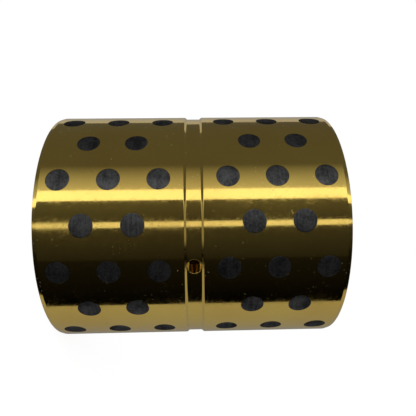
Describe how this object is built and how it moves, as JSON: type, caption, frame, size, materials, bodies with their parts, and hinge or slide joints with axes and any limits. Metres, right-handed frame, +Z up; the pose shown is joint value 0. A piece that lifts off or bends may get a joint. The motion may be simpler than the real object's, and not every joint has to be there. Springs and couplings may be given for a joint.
{
  "type": "graphite plugged bushing",
  "caption": "Turned bronze sleeve bushing with graphite plugs through its wall, a grease groove round the outside and an oil hole.",
  "frame": {"origin": "centre of the bottom end face, on which the bushing stands", "axes": "+Z up along the axis of the bore; -Y is the front, where row 1 of the plugs and the oil hole are"},
  "size_m": [0.12, 0.12, 0.14],
  "materials": {
    "turned_bronze": "polished",
    "graphite": "matte"
  },
  "bodies": {
    "root": {"bronze_sleeve": "turned_bronze", "lower_plugs_row_01": "graphite", "lower_plugs_row_02": "graphite", "lower_plugs_row_03": "graphite", "lower_plugs_row_04": "graphite", "lower_plugs_row_05": "graphite", "lower_plugs_row_06": "graphite", "lower_plugs_row_07": "graphite", "lower_plugs_row_08": "graphite", "lower_plugs_row_09": "graphite", "lower_plugs_row_10": "graphite", "lower_plugs_row_11": "graphite", "lower_plugs_row_12": "graphite", "lower_plugs_row_13": "graphite", "lower_plugs_row_14": "graphite", "lower_plugs_row_15": "graphite", "lower_plugs_row_16": "graphite", "lower_plugs_row_17": "graphite", "lower_plugs_row_18": "graphite", "upper_plugs_row_01": "graphite", "upper_plugs_row_02": "graphite", "upper_plugs_row_03": "graphite", "upper_plugs_row_04": "graphite", "upper_plugs_row_05": "graphite", "upper_plugs_row_06": "graphite", "upper_plugs_row_07": "graphite", "upper_plugs_row_08": "graphite", "upper_plugs_row_09": "graphite", "upper_plugs_row_10": "graphite", "upper_plugs_row_11": "graphite", "upper_plugs_row_12": "graphite", "upper_plugs_row_13": "graphite", "upper_plugs_row_14": "graphite", "upper_plugs_row_15": "graphite", "upper_plugs_row_16": "graphite", "upper_plugs_row_17": "graphite", "upper_plugs_row_18": "graphite"}
  },
  "joints": []
}
